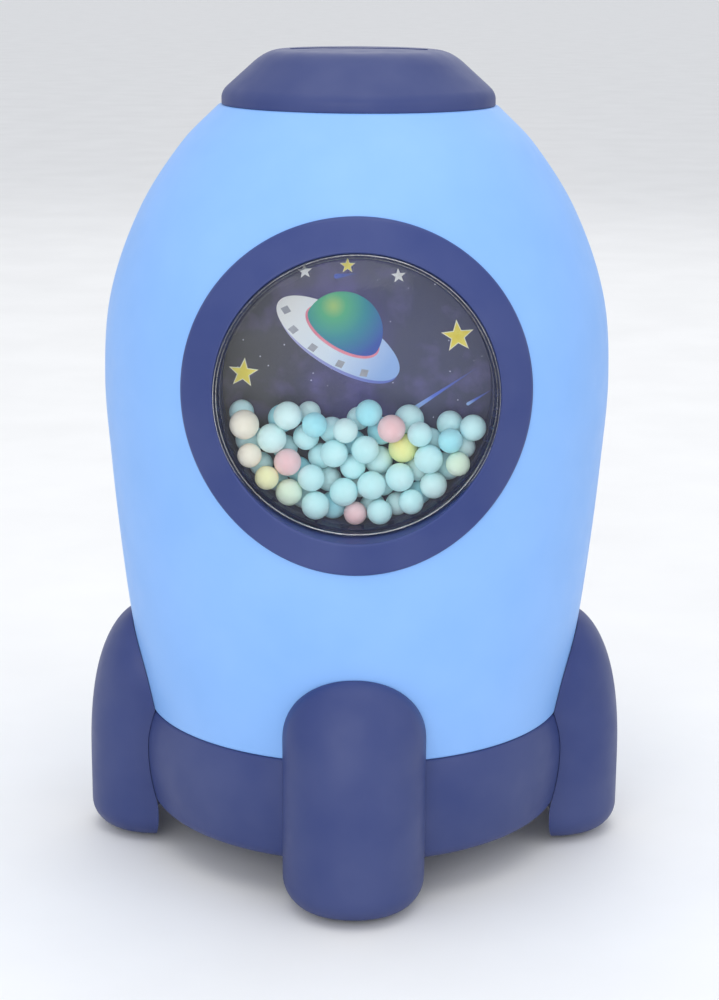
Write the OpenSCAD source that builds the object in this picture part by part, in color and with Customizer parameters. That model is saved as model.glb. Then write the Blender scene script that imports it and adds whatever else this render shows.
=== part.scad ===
// Rocket money bank with a ball-filled porthole and a coded lock on its rear door.
// Z is the rocket's axis, z = 0 is the floor and the porthole faces -Y. Sizes are in mm.

/* [Body] */
// Thickness of the moulded walls
wall = 2.4; // [1.6:0.1:3.2]
// Height where the body meets the base cup
rim_z = 36.9; // [30:0.1:45]
// Height where the body meets the nose cap
nose_z = 190.5; // [185:0.1:195]
// Height of the crown of the nose cap
height = 204.2; // [200:0.1:210]
// Length of the coin slot
slot_length = 34; // [28:0.5:36]
// Width of the coin slot
slot_width = 4.8; // [4.2:0.1:6]

/* [Base] */
// Height of the underside of the base cup
cup_z = 10; // [6:0.5:14]
// Reach of the boosters from the rocket's axis
booster_reach = 70.1; // [66:0.1:74]
// Half the width of a booster
booster_half = 17.4; // [14:0.1:20]
// Height of the tip of a booster
booster_top = 59.6; // [50:0.1:66]
// Thickness of the rubber pads under the boosters
pad_height = 1; // [0.5:0.1:2]

/* [Porthole] */
// Height of the porthole's centre
port_z = 127.6; // [118:0.1:135]
// Outer radius of the porthole's bezel
bezel_r = 41.2; // [38:0.1:44]
// Radius of the round window
window_r = 33.3; // [30:0.1:35]
// Distance of the window's face from the rocket's axis
window_out = 57; // [54:0.5:59]
// Distance of the back of the ball chamber from the rocket's axis
chamber_back = 42; // [40:0.5:46]
// Number of foam balls in the chamber
ball_count = 58; // [20:1:80]

/* [Door] */
// Height of the door's centre
door_z = 118; // [100:1:130]
// Outer radius of the door's frame
frame_r = 38; // [34:0.5:40]
// Radius of the door
door_r = 29.2; // [26:0.1:31]
// Distance of the door's outer face from the rocket's axis
door_out = 58; // [56:0.5:59]
// Radius of the discs of the lock
disc_r = 20; // [17:0.5:21]

/* [Hidden] */
$fn = 96;

// Outer radius of the body by height: [height, radius]
BODY = [
    [rim_z, 54.1], [57.8, 58], [78.6, 60.6], [101.1, 62.7], [123.6, 64],
    [144.4, 62], [165.3, 54.3], [181.4, 43.7], [nose_z, 34.6],
];

// How far the two rings stand proud of the body
proud = 1;
// Room left round a part that is glued or laid against another
lay_gap = 0.15;
// Radial clearance of a shaft in its bearing
run_gap = 0.05;
// Clearance between parts that move past each other
move_gap = 0.4;

spigot_r = rim_z + 14.6;
spigot_z = 30;
neck_r = 30.3;
neck_top = 193.6;
cup_inner_r = spigot_r + 0.1;
// Bulge of the base cup: its widest radius and height, and how much it draws in at its rim and foot
cup_belly_r = 56;
cup_belly_z = 27;
cup_rim_in = 1.9;
cup_foot_in = 2.6;
post_r = 4;
post_at = 42;
post_top = 46;
// Screw boss inside each booster, and the rounding of the booster's foot
boss_z = 24;
boss_half = 3.5;
booster_edge = 6.5;
booster_dome = 17;

collar_r = bezel_r - 1.8;
lens_r = window_r - lay_gap;
lens_flange_r = window_r + 3.2;
chamber_r = lens_r - 1.2;
flange_out = window_out - 5.5;
lens_thick = 1.5;
tray_wall = 1.2;
card_thick = 0.4;
port_ring_out = 44;
port_screw_at = 38;
ring_thick = 2;
// Places tried for each ball of the pile
ball_tries = 200;

frame_bore = door_r + 0.7;
frame_collar_r = frame_r - 1.8;
frame_back = 46.4;
frame_screw_at = 33;
door_thick = 2.5;
door_back = door_out - door_thick;
ledge_thick = 2.2;
ledge_out = door_back - move_gap;
ledge_r = frame_bore - 2.9;
keeper_tip = 16.6;
keeper_half = 2.4;
hinge_x = -33.5;
hinge_out = door_out + 0.5;
knuckle_r = 2.8;
knuckle_half = 6.7;
lug_end = 11.5;
pin_r = 1;

shaft_r = 2.5;
disc_thick = 2;
disc_pitch = 3.2;
drive_out = ledge_out - ledge_thick - 0.5;
notch_at = disc_r - 6;
notch_half = 3.2;
washer_thick = 0.6;
dial_back = door_out + washer_thick + 0.3;
dial_thick = 3.5;
dial_lobe_at = 14.2;
dial_lobe_r = 4.2;
dial_out = 69.3;
clip_out = drive_out - 2 * disc_pitch - disc_thick - 0.3;
clip_thick = 0.6;
bridge_out = clip_out - clip_thick - 1.1;
bridge_thick = 1.6;
bridge_post_at = 23.6;

// ---------------------------------------------------------------- body surface

function knot(z) = max([for (i = [0:len(BODY) - 2]) if (i == 0 || z >= BODY[i][0]) i]);

function knot_slope(i) =
    let (a = BODY[max(i - 1, 0)], b = BODY[min(i + 1, len(BODY) - 1)])
    (b[1] - a[1]) / (b[0] - a[0]);

// Radius of the body at a height: a smooth curve through the knots
function body_r(z) =
    let (i = knot(z), a = BODY[i], b = BODY[i + 1], h = b[0] - a[0], t = (z - a[0]) / h)
    (2 * t^3 - 3 * t^2 + 1) * a[1] + (t^3 - 2 * t^2 + t) * h * knot_slope(i)
    + (3 * t^2 - 2 * t^3) * b[1] + (t^3 - t^2) * h * knot_slope(i + 1);

// The same moved outwards by d, measured square to the surface
function skin_r(z, d) =
    let (slope = (body_r(z + 0.1) - body_r(z - 0.1)) / 0.2)
    body_r(z) + d * sqrt(1 + slope^2);

function skin(d, z0, z1, n = 44) =
    [for (i = [0:n]) let (z = z0 + (z1 - z0) * i / n) [skin_r(z, d), z]];

// Radius of the base cup: bulged between its foot and its rim
function cup_r(z) =
    z > cup_belly_z
        ? cup_belly_r - cup_rim_in * ((z - cup_belly_z) / (rim_z - cup_belly_z))^2
        : cup_belly_r - cup_foot_in * ((cup_belly_z - z) / (cup_belly_z - cup_z))^2;

// Points of a corner eased from a to c, with b the sharp corner
function eased(a, b, c, n = 8) =
    [for (i = [0:n]) let (t = i / n) (1 - t)^2 * a + 2 * t * (1 - t) * b + t^2 * c];

module body_solid(d) {
    rotate_extrude()
        polygon(concat([[0, rim_z + 5]], skin(d, rim_z + 5, nose_z - 5), [[0, nose_z - 5]]));
}

// ---------------------------------------------------------------- shared helpers

// Children drawn as seen from the front: X right, Y up, Z out of the porthole
module at_porthole() {
    translate([0, 0, port_z])
        rotate([90, 0, 0])
            children();
}

// Children drawn as seen from behind: X right, Y up, Z out of the door
module at_door() {
    translate([0, 0, door_z])
        rotate([90, 0, 180])
            children();
}

module rod(r, z0, z1) {
    translate([0, 0, z0])
        cylinder(h = z1 - z0, r = r);
}

module tube(r_out, r_in, z0, z1) {
    difference() {
        rod(r_out, z0, z1);
        rod(r_in, z0 - 1, z1 + 1);
    }
}

module box(x0, x1, y0, y1, z0, z1) {
    translate([x0, y0, z0])
        cube([x1 - x0, y1 - y0, z1 - z0]);
}

module ring_of(count, radius, first = 0) {
    for (i = [0:count - 1])
        rotate(first + i * 360 / count)
            translate([radius, 0, 0])
                children();
}

// A pan-head screw: its head stands below z = 0 and its shank runs up
module screw(head_r, shank_r, length) {
    difference() {
        union() {
            rod(head_r, -0.65 * head_r, 0);
            rod(shank_r, -0.1, length);
        }
        for (a = [0, 90])
            rotate(a)
                box(-0.7 * head_r, 0.7 * head_r, -0.25, 0.25, -head_r, -0.3 * head_r);
    }
}

// ---------------------------------------------------------------- body

module shell_profile() {
    polygon(concat(
        [[spigot_r, spigot_z], [spigot_r, rim_z]],
        skin(0, rim_z, nose_z),
        [[neck_r, nose_z], [neck_r, neck_top], [neck_r - wall, neck_top], [neck_r - wall, nose_z - 2.5]],
        skin(-wall, nose_z - 6.5, rim_z + 6),
        [[spigot_r - wall, rim_z + 1], [spigot_r - wall, spigot_z]]
    ));
}

module body_shell() {
    color([0.45, 0.68, 0.95]) {
        difference() {
            rotate_extrude()
                shell_profile();
            at_porthole()
                rod(collar_r + lay_gap, 20, 80);
            at_door()
                rod(frame_collar_r + lay_gap, 20, 80);
        }
        ring_of(4, 0, 45)
            base_post();
    }
}

// A screw post for the base cup, webbed to the shell's skirt
module base_post() {
    difference() {
        union() {
            translate([post_at, 0, 0])
                rod(post_r, cup_z + wall, post_top);
            box(post_at, spigot_r - wall + 0.6, -1, 1, spigot_z, post_top);
        }
        translate([post_at, 0, 0])
            rod(1.3, cup_z, post_top - 6);
    }
}

module nose_cap() {
    outer = concat(
        [[34, nose_z]],
        eased([34, nose_z + 1.5], [34, nose_z + 3.1], [32.6, nose_z + 4.4]),
        eased([26.2, nose_z + 10.1], [22.8, height - 0.6], [19.5, height - 0.4]),
        [[0, height]]
    );
    inner = [
        [0, height - wall], [20.5, height - wall - 0.4], [24.7, nose_z + 8.5],
        [30.5, nose_z + 3.3], [30.5, nose_z],
    ];
    color([0.13, 0.16, 0.4])
        difference() {
            rotate_extrude()
                polygon(concat(outer, inner));
            box(-slot_length / 2, slot_length / 2, -slot_width / 2, slot_width / 2, height - 8, height + 1);
        }
}

// ---------------------------------------------------------------- base

module base_cup() {
    floor_z = cup_z + wall;
    foot = cup_r(cup_z + 4);
    outer = concat(
        [[0, cup_z]],
        eased([foot - 6, cup_z], [foot - 0.6, cup_z], [foot, cup_z + 4]),
        [for (z = [cup_z + 6:2:rim_z - 1]) [cup_r(z), z]],
        [[cup_r(rim_z), rim_z]]
    );
    inner = [[cup_inner_r, rim_z], [cup_inner_r, floor_z], [0, floor_z]];
    color([0.13, 0.16, 0.4])
        difference() {
            rotate_extrude()
                polygon(concat(outer, inner));
            ring_of(4, post_at, 45)
                rod(1.7, cup_z - 1, floor_z + 1);
            ring_of(4, 0)
                translate([0, 0, boss_z])
                    rotate([0, 90, 0])
                        rod(1.4, cup_inner_r - 3, cup_belly_r + 4);
        }
}

module base_screws() {
    color([0.6, 0.61, 0.63])
        ring_of(4, post_at, 45)
            translate([0, 0, cup_z])
                screw(3.2, 1.3, 16);
}

// Radius of the surface that a booster lies against
function seat_r(z) = lay_gap + (z > rim_z ? body_r(z) : cup_r(max(z, cup_z + 1)));

// Superellipse quarter: 1 at u = 0 falling to 0 at u = 1
function bulge(u, p) = (1 - min(max(u, 0), 1)^p)^(1 / p);

// How far the rounded foot of a booster draws in at a height
function foot_in(z) =
    let (low = booster_edge + pad_height - z)
    low > 0 ? booster_edge - sqrt(booster_edge^2 - low^2) : 0;

// Reach of a booster at a height, from the rocket's axis
function reach(z) =
    let (root_r = 52.6, swell_z = 20, tip_z = booster_top + 1.4)
    root_r + (booster_reach - root_r) * bulge((z - swell_z) / (tip_z - swell_z), 2.4) - foot_in(z);

// Half-width of a booster at a height
function half_width(z) =
    booster_half * bulge((z - booster_top + booster_dome) / booster_dome, 2.1) - foot_in(z);

function seat_y(x, z) = sqrt(seat_r(z)^2 - x^2);

// One point of a booster's outer curve at angle a, set inwards by t
function hoop(a, z, t) =
    let (
        power = 2 / 2.3,
        x = (half_width(z) - t) * sign(cos(a)) * abs(cos(a))^power,
        rise = (reach(z) - seat_r(z) - t) * abs(sin(a))^power
    )
    [x, -seat_y(x, z) - rise, z];

// A closed loop of a booster at one height: along its outside, then back along its inside
function booster_loop(z, n) =
    let (floor_z = pad_height + wall, hollow = z > floor_z && reach(z) - seat_r(z) > wall + 1.5)
    concat(
        [for (i = [0:n]) hoop(180 - 180 * i / n, z, 0)],
        hollow
            ? [for (i = [0:n - 2]) hoop(180 * i / (n - 2), z, wall)]
            : [for (i = [1:n - 1]) let (x = half_width(z) * (1 - 2 * i / n)) [x, -seat_y(x, z), z]]
    );

// The front booster; the other three are this one turned about the rocket's axis
module booster() {
    n = 14;
    dome_z = booster_top - booster_dome;
    heights = concat(
        [for (a = [0:18:90]) pad_height + booster_edge * (1 - cos(a))],
        [for (t = [0:1 / 3:1]) 14 + t * (cup_belly_z - 14)],
        [for (t = [1 / 3:1 / 3:1]) cup_belly_z + t * (rim_z - cup_belly_z)],
        [for (a = [0:15:75]) dome_z + (booster_dome - 0.1) * sin(a)],
        [booster_top - 0.1]
    );
    loops = [for (z = heights) booster_loop(z, n)];
    m = len(loops[0]);
    color([0.13, 0.16, 0.4])
        difference() {
            union() {
                polyhedron(
                    points = [for (loop = loops) each loop],
                    faces = concat(
                        [[for (i = [0:m - 1]) i]],
                        [for (k = [1:len(loops) - 1]) for (i = [0:m - 1])
                            let (a = (k - 1) * m + i, b = (k - 1) * m + (i + 1) % m)
                            each [[a, a + m, b + m], [a, b + m, b]]],
                        [[for (i = [m - 1:-1:0]) (len(loops) - 1) * m + i]]
                    )
                );
                box(
                    -boss_half, boss_half,
                    wall / 2 - booster_reach, -cup_r(boss_z) - 0.4,
                    boss_z - boss_half, boss_z + boss_half
                );
            }
            translate([0, 0, boss_z])
                rotate([90, 0, 0])
                    rod(1.1, cup_belly_r - 6, cup_belly_r + 8);
        }
}

module booster_front() {
    booster();
}

module booster_right() {
    rotate(90)
        booster();
}

module booster_rear() {
    rotate(180)
        booster();
}

module booster_left() {
    rotate(270)
        booster();
}

// The head's rim just meets the cup's round wall
module booster_screws() {
    head_r = 2.4;
    color([0.6, 0.61, 0.63])
        ring_of(4, 0)
            translate([sqrt(cup_inner_r^2 - head_r^2) - 0.02, 0, boss_z])
                rotate([0, 90, 0])
                    screw(head_r, 1.1, 11);
}

module foot_pads() {
    color([0.1, 0.1, 0.11])
        ring_of(4, 58.5)
            rod(4.2, 0, pad_height);
}

// ---------------------------------------------------------------- porthole

module porthole_bezel() {
    color([0.16, 0.18, 0.45])
        difference() {
            intersection() {
                body_solid(proud);
                at_porthole()
                    tube(bezel_r, window_r, port_ring_out, 80);
            }
            intersection() {
                body_solid(lay_gap);
                at_porthole()
                    tube(60, collar_r, 0, 80);
            }
            at_porthole()
                rod(lens_flange_r + lay_gap, 20, flange_out);
            at_porthole()
                ring_of(4, port_screw_at, 45)
                    rod(0.9, 20, port_ring_out + 6);
        }
}

module porthole_lens() {
    rim_wide = 0.9;
    face = window_out - lens_thick;
    color([0.85, 0.9, 0.95, 0.3])
        at_porthole()
            rotate_extrude()
                polygon([
                    [0, window_out], [lens_r - rim_wide, window_out], [lens_r - rim_wide, window_out + 1],
                    [lens_r, window_out + 1], [lens_r, flange_out], [lens_flange_r, flange_out],
                    [lens_flange_r, flange_out - lens_thick], [chamber_r, flange_out - lens_thick],
                    [chamber_r, face], [0, face],
                ]);
}

module porthole_tray() {
    mouth = flange_out - lens_thick;
    back = chamber_back - tray_wall;
    color([0.13, 0.16, 0.4])
        at_porthole()
            rotate_extrude()
                polygon([
                    [0, chamber_back], [chamber_r, chamber_back], [chamber_r, mouth],
                    [lens_flange_r, mouth],
                    [lens_flange_r, mouth - tray_wall], [chamber_r + tray_wall, mouth - tray_wall],
                    [chamber_r + tray_wall, back], [0, back],
                ]);
}

module porthole_backdrop() {
    color([0.13, 0.1, 0.3])
        at_porthole()
            rod(chamber_r - 0.2, chamber_back, chamber_back + card_thick);
}

// Evenly spread fractions that stand in for the chance fall of each ball
function spread(k, step) = k * step - floor(k * step);

function ball_r(i) = 2.75 + 0.75 * spread(i, 0.7549);

// Height at which ball r, let down at [x, depth], comes to rest on the wall or on the others
function rest_y(x, depth, r, others) =
    max(concat(
        [-sqrt((chamber_r - r - 0.1)^2 - x^2)],
        [for (o = others)
            let (rise_squared = (r + o[3] + 0.05)^2 - (x - o[0])^2 - (depth - o[2])^2)
            if (rise_squared > 0) o[1] + sqrt(rise_squared)]
    ));

// Adds ball i at the lowest of the places tried for it
function with_ball(i, others) =
    let (
        r = ball_r(i),
        near = chamber_back + card_thick + r + 0.1,
        far = window_out - lens_thick - r - 0.1,
        spots = [for (k = [1:ball_tries])
            let (
                x = (chamber_r - r - 1) * (2 * spread(i * ball_tries + k, 0.618) - 1),
                depth = near + (far - near) * spread(i * ball_tries + k, 0.4142)
            )
            [x, rest_y(x, depth, r, others), depth, r]],
        lowest = min([for (s = spots) s[1]])
    )
    concat(others, [[for (s = spots) if (s[1] == lowest) s][0]]);

function ball_pile(i = 0, others = []) =
    i == ball_count ? others : ball_pile(i + 1, with_ball(i, others));

module foam_balls() {
    color([0.65, 0.88, 0.9])
        at_porthole()
            for (b = ball_pile())
                translate([b[0], b[1], b[2]])
                    sphere(r = b[3]);
}

module porthole_retainer() {
    back = port_ring_out - ring_thick;
    press = flange_out - lens_thick - tray_wall;
    bore = chamber_r + tray_wall + 0.2;
    color([0.13, 0.16, 0.4])
        at_porthole()
            difference() {
                rotate_extrude()
                    polygon([
                        [bore, back], [bezel_r + 1.4, back], [bezel_r + 1.4, port_ring_out],
                        [lens_flange_r - 0.2, port_ring_out], [lens_flange_r - 0.2, press], [bore, press],
                    ]);
                ring_of(4, port_screw_at, 45)
                    rod(1.2, back - 1, port_ring_out + 1);
            }
}

module porthole_screws() {
    color([0.6, 0.61, 0.63])
        at_porthole()
            ring_of(4, port_screw_at, 45)
                translate([0, 0, port_ring_out - ring_thick])
                    screw(2, 0.9, 6.5);
}

// ---------------------------------------------------------------- rear door

module door_frame() {
    color([0.16, 0.18, 0.45])
        difference() {
            union() {
                difference() {
                    intersection() {
                        body_solid(proud);
                        at_door()
                            tube(frame_r, frame_bore, frame_back, 80);
                    }
                    intersection() {
                        body_solid(lay_gap);
                        at_door()
                            tube(60, frame_collar_r, 0, 80);
                    }
                    at_door()
                        hinge_pocket();
                    at_door()
                        ring_of(4, frame_screw_at, 45)
                            rod(0.9, 20, frame_back + 6);
                }
                at_door() {
                    tube(frame_bore + 1, ledge_r, ledge_out - ledge_thick, ledge_out);
                    box(
                        keeper_tip, ledge_r + 1, -keeper_half, keeper_half,
                        ledge_out - ledge_thick, ledge_out
                    );
                    for (side = [-1, 1])
                        hinge_lug(side);
                }
            }
            at_door()
                on_hinge()
                    rod(pin_r, -20, 20);
        }
}

// Children drawn round the hinge's upright axis
module on_hinge() {
    translate([hinge_x, 0, hinge_out])
        rotate([-90, 0, 0])
            children();
}

module hinge_lug(side) {
    near = knuckle_half + 0.3;
    mirror([0, side < 0 ? 1 : 0, 0]) {
        on_hinge()
            rod(knuckle_r, near, lug_end);
        box(hinge_x - knuckle_r, hinge_x + knuckle_r, near, lug_end, door_out - 5, hinge_out);
    }
}

// Room in the frame for the door's knuckle and arm
module hinge_pocket() {
    half = knuckle_half + 0.3;
    on_hinge()
        rod(knuckle_r + 0.5, -half, half);
    box(hinge_x - 0.5, hinge_x + 6, -half, half, door_out - 1.6, 80);
}

module frame_retainer() {
    color([0.13, 0.16, 0.4])
        at_door()
            difference() {
                tube(frame_r + 1.3, frame_bore + 0.3, frame_back - ring_thick, frame_back);
                ring_of(4, frame_screw_at, 45)
                    rod(1.2, frame_back - ring_thick - 1, frame_back + 1);
            }
}

module frame_screws() {
    color([0.6, 0.61, 0.63])
        at_door()
            ring_of(4, frame_screw_at, 45)
                translate([0, 0, frame_back - ring_thick])
                    screw(2, 0.9, 6.5);
}

module hinge_pin() {
    color([0.6, 0.61, 0.63])
        at_door()
            on_hinge() {
                rod(pin_r, -lug_end, lug_end);
                rod(pin_r + 0.8, -lug_end - 0.8, -lug_end);
            }
}

module door_panel() {
    color([0.45, 0.68, 0.95])
        at_door()
            difference() {
                union() {
                    rod(door_r, door_back, door_out);
                    tube(door_r - 1.2, door_r - 2.8, door_out - 0.5, door_out + 0.8);
                    rod(6, drive_out + move_gap, door_back + 0.5);
                    on_hinge()
                        rod(knuckle_r, -knuckle_half, knuckle_half);
                    box(
                        hinge_x, hinge_x + 7.5, -knuckle_half, knuckle_half,
                        door_out - 1.2, hinge_out + 1.8
                    );
                    for (y = [-bridge_post_at, bridge_post_at])
                        translate([0, y, 0])
                            rod(2.2, bridge_out, door_back + 0.5);
                }
                rod(shaft_r + run_gap, 20, 80);
                on_hinge()
                    rod(pin_r + run_gap, -20, 20);
                for (y = [-bridge_post_at, bridge_post_at])
                    translate([0, y, 0])
                        rod(0.9, bridge_out - 1, bridge_out + 7);
            }
}

module index_mark() {
    tip = dial_lobe_at + dial_lobe_r + 1.4;
    color([0.93, 0.94, 0.95])
        at_door()
            translate([0, 0, door_out])
                linear_extrude(0.6)
                    polygon([[0, tip], [2.4, tip + 4.2], [-2.4, tip + 4.2]]);
}

module friction_washer() {
    color([0.1, 0.1, 0.11])
        at_door()
            tube(6, shaft_r + 0.4, door_out, door_out + washer_thick);
}

// ---------------------------------------------------------------- lock

module lock_dial() {
    color([0.93, 0.94, 0.95])
        at_door()
            difference() {
                union() {
                    rod(dial_lobe_at + 1.8, dial_back, dial_back + dial_thick);
                    ring_of(10, dial_lobe_at, 90)
                        rod(dial_lobe_r, dial_back, dial_back + dial_thick);
                    rod(8.5, dial_back, dial_back + dial_thick + 2);
                    intersection() {
                        rod(8.5, dial_back, dial_out);
                        box(-2.4, 2.4, -10, 10, dial_back, dial_out);
                    }
                    rod(shaft_r, bridge_out - bridge_thick + 0.5, dial_back + 1);
                }
                tube(shaft_r + 1, shaft_r - 0.6, clip_out - clip_thick, clip_out);
            }
}

// A lock disc whose notch lets the keeper past
module lock_disc(bore, out) {
    at_door()
        difference() {
            rod(disc_r, out - disc_thick, out);
            rod(bore, out - disc_thick - 1, out + 1);
            box(notch_at, disc_r + 1, -notch_half, notch_half, out - disc_thick - 1, out + 1);
            ring_of(3, disc_r / 2, 60)
                rod(3, out - disc_thick - 1, out + 1);
        }
}

module drive_disc() {
    color([0.78, 0.62, 0.32])
        lock_disc(shaft_r, drive_out);
}

module tumbler_outer() {
    color([0.8, 0.81, 0.83])
        lock_disc(shaft_r + run_gap, drive_out - disc_pitch);
}

module tumbler_inner() {
    color([0.8, 0.81, 0.83])
        lock_disc(shaft_r + run_gap, drive_out - 2 * disc_pitch);
}

module disc_spacers() {
    color([0.1, 0.1, 0.11])
        at_door()
            for (k = [1, 2])
                translate([0, 0, drive_out - k * disc_pitch + 0.3])
                    tube(5, shaft_r, 0, disc_pitch - disc_thick - 0.6);
}

module shaft_clip() {
    color([0.6, 0.61, 0.63])
        at_door()
            difference() {
                tube(4.6, shaft_r - 0.6, clip_out - clip_thick, clip_out);
                box(0, 6, -1.4, 1.4, clip_out - 2, clip_out + 1);
            }
}

module lock_bridge() {
    color([0.6, 0.61, 0.63])
        at_door()
            difference() {
                intersection() {
                    rod(bridge_post_at + 2.4, bridge_out - bridge_thick, bridge_out);
                    box(-5, 5, -30, 30, 20, 80);
                }
                rod(shaft_r + run_gap, 20, 80);
                for (y = [-bridge_post_at, bridge_post_at])
                    translate([0, y, 0])
                        rod(1.2, 20, 80);
            }
}

module lock_screws() {
    color([0.6, 0.61, 0.63])
        at_door()
            for (y = [-bridge_post_at, bridge_post_at])
                translate([0, y, bridge_out - bridge_thick])
                    screw(2, 0.9, 7);
}

// ---------------------------------------------------------------- assembly

body_shell();
nose_cap();
base_cup();
base_screws();
booster_front();
booster_right();
booster_rear();
booster_left();
booster_screws();
foot_pads();
porthole_bezel();
porthole_lens();
porthole_tray();
porthole_backdrop();
foam_balls();
porthole_retainer();
porthole_screws();
door_frame();
frame_retainer();
frame_screws();
hinge_pin();
door_panel();
index_mark();
friction_washer();
lock_bridge();
lock_screws();
lock_dial();
drive_disc();
disc_spacers();
shaft_clip();
tumbler_outer();
tumbler_inner();
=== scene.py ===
"""Looks for the rocket money bank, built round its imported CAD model.

The rocket's axis is Z, the floor is z = 0 and the porthole faces -Y. Sizes here are in millimetres; they
become metres as each mesh is made.
"""

import math

import bmesh
import bpy
from mathutils import Matrix, Vector


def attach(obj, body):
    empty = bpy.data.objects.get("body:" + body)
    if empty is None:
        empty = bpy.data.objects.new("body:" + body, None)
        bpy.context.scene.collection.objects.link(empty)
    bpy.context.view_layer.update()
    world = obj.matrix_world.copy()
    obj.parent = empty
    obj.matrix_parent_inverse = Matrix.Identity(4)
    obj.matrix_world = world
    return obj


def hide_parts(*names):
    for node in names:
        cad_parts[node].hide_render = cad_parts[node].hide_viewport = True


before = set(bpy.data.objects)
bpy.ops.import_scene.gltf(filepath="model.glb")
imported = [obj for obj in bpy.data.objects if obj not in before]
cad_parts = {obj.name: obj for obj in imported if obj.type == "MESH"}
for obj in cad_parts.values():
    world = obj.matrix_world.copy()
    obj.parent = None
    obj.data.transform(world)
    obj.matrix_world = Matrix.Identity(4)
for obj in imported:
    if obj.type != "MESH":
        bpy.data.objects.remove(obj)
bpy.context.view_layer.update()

MM = 0.001
TURNS = 256

# ---------------------------------------------------------------- sizes shared with the CAD model

RIM_Z = 36.9
NOSE_Z = 190.5
HEIGHT = 204.2
WALL = 2.4
NECK_R = 30.3
NECK_TOP = 193.6
SPIGOT_R = 51.5
SPIGOT_Z = 30.0
SLOT = (34.0, 4.8)

CUP_Z = 10.0
CUP_INNER_R = 51.6
CUP_BELLY_R = 56
CUP_BELLY_Z = 27
CUP_RIM_IN = 1.9
CUP_FOOT_IN = 2.6
BOOSTER_REACH = 70.1
BOOSTER_HALF = 17.4
BOOSTER_TOP = 59.6
BOOSTER_EDGE = 6.5
BOOSTER_DOME = 17
PAD_HEIGHT = 1.0
LAY_GAP = 0.15

PORT_Z = 127.6
BEZEL_R = 41.2
WINDOW_R = 33.3
WINDOW_OUT = 57.0
LENS_R = 33.15
LENS_FLANGE_R = 36.5
CHAMBER_R = 31.95
CHAMBER_BACK = 42.0
FLANGE_OUT = 51.5
CARD_THICK = 0.4

DOOR_Z = 118.0
FRAME_R = 38.0
DIAL_FACE = 62.4

# Outer radius of the body by height
BODY = [
    (RIM_Z, 54.1), (57.8, 58.0), (78.6, 60.6), (101.1, 62.7), (123.6, 64.0),
    (144.4, 62.0), (165.3, 54.3), (181.4, 43.7), (NOSE_Z, 34.6),
]


def knot_slope(i):
    """Slope of the body's outline at a knot, from the knots on either side."""
    (z0, r0), (z1, r1) = BODY[max(i - 1, 0)], BODY[min(i + 1, len(BODY) - 1)]
    return (r1 - r0) / (z1 - z0)


def body_r(z):
    """Radius of the body at a height: a smooth curve through the knots."""
    i = max([k for k in range(len(BODY) - 1) if z >= BODY[k][0]], default=0)
    (z0, r0), (z1, r1) = BODY[i], BODY[i + 1]
    h = z1 - z0
    t = (z - z0) / h
    ends = (2 * t**3 - 3 * t**2 + 1) * r0 + (3 * t**2 - 2 * t**3) * r1
    slopes = (t**3 - 2 * t**2 + t) * knot_slope(i) + (t**3 - t**2) * knot_slope(i + 1)
    return ends + h * slopes


def skin_r(z, d):
    """The body's radius moved outwards by d, measured square to its surface."""
    slope = (body_r(z + 0.1) - body_r(z - 0.1)) / 0.2
    return body_r(z) + d * math.hypot(1, slope)


def cup_r(z):
    """Outer radius of the cup, which draws in from its belly towards its rim and its foot."""
    if z > CUP_BELLY_Z:
        return CUP_BELLY_R - CUP_RIM_IN * ((z - CUP_BELLY_Z) / (RIM_Z - CUP_BELLY_Z)) ** 2
    return CUP_BELLY_R - CUP_FOOT_IN * ((CUP_BELLY_Z - z) / (CUP_BELLY_Z - CUP_Z)) ** 2


def seat_r(z):
    """Radius of the surface that a booster lies against."""
    return LAY_GAP + (body_r(z) if z > RIM_Z else cup_r(max(z, CUP_Z + 1)))


def bulge(u, p):
    """Falls from 1 to 0 as u goes from 0 to 1, along a superellipse of power p."""
    return (1 - min(max(u, 0), 1) ** p) ** (1 / p)


def foot_rounding(z):
    """How far the rounded foot of a booster draws its sides in at a height."""
    low = BOOSTER_EDGE + PAD_HEIGHT - z
    return BOOSTER_EDGE - math.sqrt(BOOSTER_EDGE**2 - low**2) if low > 0 else 0


def booster_reach(z):
    """Distance from the rocket's axis to a booster's outside."""
    axis_r, swell_z, tip_z = 52.6, 20, 61
    swell = bulge((z - swell_z) / (tip_z - swell_z), 2.4)
    return axis_r + (BOOSTER_REACH - axis_r) * swell - foot_rounding(z)


def booster_half(z):
    """Half the width of a booster."""
    return BOOSTER_HALF * bulge((z - BOOSTER_TOP + BOOSTER_DOME) / BOOSTER_DOME, 2.1) - foot_rounding(z)


def eased(a, b, c, n=10):
    """Points of a corner eased from a to c, with b the sharp corner."""
    points = []
    for i in range(n + 1):
        t = i / n
        weights = ((1 - t) ** 2, 2 * t * (1 - t), t**2)
        points.append(tuple(sum(w * p[k] for w, p in zip(weights, (a, b, c))) for k in (0, 1)))
    return points


def spaced(start, end, n):
    """Values in n equal steps from start to end, both included."""
    return [start + (end - start) * i / n for i in range(n + 1)]


# ---------------------------------------------------------------- meshes


def at_porthole(v):
    """From the porthole's own axes, X right, Y up, Z out, to the rocket's."""
    return (v[0], -v[2], PORT_Z + v[1])


def at_door(v):
    """From the door's own axes, X right as seen from behind, Y up, Z out, to the rocket's."""
    return (-v[0], v[2], DOOR_Z + v[1])


def upright(v):
    """Leaves a point in the rocket's own axes."""
    return v


def shade(mesh):
    """Shades a mesh smooth, with its sharper edges left sharp."""
    crease = 32
    mesh.shade_smooth()
    mesh.set_sharp_from_angle(angle=math.radians(crease))


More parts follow.
